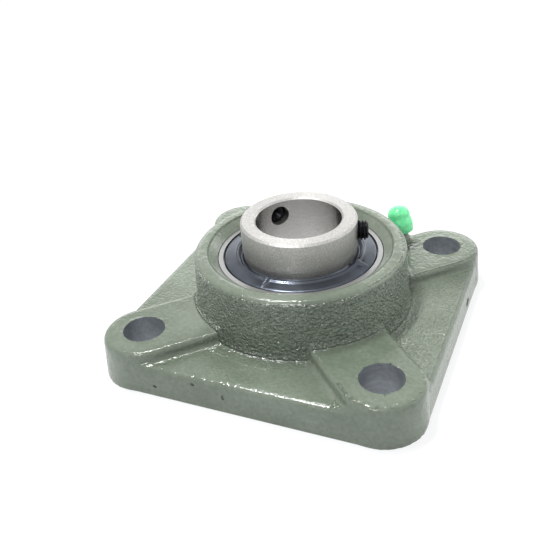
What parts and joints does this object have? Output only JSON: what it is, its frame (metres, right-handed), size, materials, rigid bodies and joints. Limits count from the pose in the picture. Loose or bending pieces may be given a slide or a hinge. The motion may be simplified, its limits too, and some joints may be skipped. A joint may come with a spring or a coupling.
{
  "type": "flange mount bearing",
  "caption": "Square four-bolt flange housing in painted cast iron with a self-aligning ball bearing insert, set screws in a long inner ring and an angled grease nipple under a cap.",
  "frame": {"origin": "where the shaft axis meets the mounting face of the flange", "axes": "+Z along the shaft axis, out of the mounting face towards the set screws; X and Y along the sides of the square flange"},
  "size_m": [0.095, 0.095, 0.0358],
  "materials": {
    "housing_paint": "olive-green semi-gloss enamel over rough sand-cast iron",
    "bearing_steel": "ground bearing steel",
    "ground_steel": "matte ground and soft-turned bearing steel",
    "seal_steel": "plain pressed sheet steel",
    "seal_rubber": "matte black nitrile rubber",
    "flinger_steel": "dark blue-grey semi-gloss coated sheet steel",
    "black_screw": "black oxide steel, lightly oiled",
    "cage_steel": "pressed sheet steel",
    "ball_steel": "polished bearing steel",
    "plated_steel": "zinc-plated steel",
    "spring_steel": "drawn spring wire",
    "cap_plastic": "bright green glossy polyethylene"
  },
  "bodies": {
    "housing": {"housing": "housing_paint", "nipple_body": "plated_steel", "nipple_spring": "spring_steel"},
    "outer_race": {"outer_ring": "bearing_steel", "seal_shell_front": "seal_steel", "seal_lip_front": "seal_rubber", "seal_shell_back": "seal_steel", "seal_lip_back": "seal_rubber"},
    "inner_race": {"inner_ring": "ground_steel", "flinger_front": "flinger_steel", "flinger_back": "flinger_steel"},
    "screw_1": {"set_screw_1": "black_screw"},
    "screw_2": {"set_screw_2": "black_screw"},
    "cage": {"cage_half_front": "cage_steel", "cage_half_back": "cage_steel", "cage_rivets": "cage_steel"},
    "roller_1": {"ball_1": "ball_steel"},
    "roller_2": {"ball_2": "ball_steel"},
    "roller_3": {"ball_3": "ball_steel"},
    "roller_4": {"ball_4": "ball_steel"},
    "roller_5": {"ball_5": "ball_steel"},
    "roller_6": {"ball_6": "ball_steel"},
    "roller_7": {"ball_7": "ball_steel"},
    "roller_8": {"ball_8": "ball_steel"},
    "roller_9": {"ball_9": "ball_steel"},
    "check_ball": {"nipple_ball": "ball_steel"},
    "cap": {"nipple_cap": "cap_plastic"}
  },
  "joints": [
    {"name": "align_tilt", "type": "hinge", "parent": "housing", "child": "outer_race", "pos_m": [0, 0, 0.016], "axis": [1, 0, 0], "range_deg": [-2, 2]},
    {"name": "shaft_spin", "type": "hinge", "parent": "outer_race", "child": "inner_race", "pos_m": [0, 0, 0.016], "axis": [0, 0, 1], "continuous": true},
    {"name": "cage_spin", "type": "hinge", "parent": "outer_race", "child": "cage", "pos_m": [0, 0, 0.016], "axis": [0, 0, 1], "continuous": true},
    {"name": "ball_1_spin", "type": "hinge", "parent": "cage", "child": "roller_1", "pos_m": [0.0195, 0, 0.016], "axis": [0, 0, 1], "continuous": true},
    {"name": "ball_2_spin", "type": "hinge", "parent": "cage", "child": "roller_2", "pos_m": [0.01494, 0.01253, 0.016], "axis": [0, 0, 1], "continuous": true},
    {"name": "ball_3_spin", "type": "hinge", "parent": "cage", "child": "roller_3", "pos_m": [0.00339, 0.0192, 0.016], "axis": [0, 0, 1], "continuous": true},
    {"name": "ball_4_spin", "type": "hinge", "parent": "cage", "child": "roller_4", "pos_m": [-0.00975, 0.01689, 0.016], "axis": [0, 0, 1], "continuous": true},
    {"name": "ball_5_spin", "type": "hinge", "parent": "cage", "child": "roller_5", "pos_m": [-0.01832, 0.00667, 0.016], "axis": [0, 0, 1], "continuous": true},
    {"name": "ball_6_spin", "type": "hinge", "parent": "cage", "child": "roller_6", "pos_m": [-0.01832, -0.00667, 0.016], "axis": [0, 0, 1], "continuous": true},
    {"name": "ball_7_spin", "type": "hinge", "parent": "cage", "child": "roller_7", "pos_m": [-0.00975, -0.01689, 0.016], "axis": [0, 0, 1], "continuous": true},
    {"name": "ball_8_spin", "type": "hinge", "parent": "cage", "child": "roller_8", "pos_m": [0.00339, -0.0192, 0.016], "axis": [0, 0, 1], "continuous": true},
    {"name": "ball_9_spin", "type": "hinge", "parent": "cage", "child": "roller_9", "pos_m": [0.01494, -0.01253, 0.016], "axis": [0, 0, 1], "continuous": true},
    {"name": "set_screw_1_drive", "type": "slide", "parent": "inner_race", "child": "screw_1", "axis": [-0.9397, -0.342, 0], "range_m": [-0.002, 0.0015]},
    {"name": "set_screw_2_drive", "type": "slide", "parent": "inner_race", "child": "screw_2", "axis": [0.766, -0.6428, 0], "range_m": [-0.002, 0.0015]},
    {"name": "cap_pull", "type": "slide", "parent": "housing", "child": "cap", "axis": [-0.1843, 0.129, 0.9744], "range_m": [0, 0.012]},
    {"name": "check_ball_press", "type": "slide", "parent": "housing", "child": "check_ball", "axis": [0.1843, -0.129, -0.9744], "range_m": [0, 0.0004], "stiffness_N_per_m": 300, "springref_m": -0.0005, "deforming": ["nipple_spring"]}
  ],
  "couplings": [
    {"joint": "cage_spin", "follows": "shaft_spin", "ratio": 0.39823},
    {"joint": "ball_1_spin", "follows": "shaft_spin", "ratio": -2.3548},
    {"joint": "ball_2_spin", "follows": "shaft_spin", "ratio": -2.3548},
    {"joint": "ball_3_spin", "follows": "shaft_spin", "ratio": -2.3548},
    {"joint": "ball_4_spin", "follows": "shaft_spin", "ratio": -2.3548},
    {"joint": "ball_5_spin", "follows": "shaft_spin", "ratio": -2.3548},
    {"joint": "ball_6_spin", "follows": "shaft_spin", "ratio": -2.3548},
    {"joint": "ball_7_spin", "follows": "shaft_spin", "ratio": -2.3548},
    {"joint": "ball_8_spin", "follows": "shaft_spin", "ratio": -2.3548},
    {"joint": "ball_9_spin", "follows": "shaft_spin", "ratio": -2.3548}
  ]
}
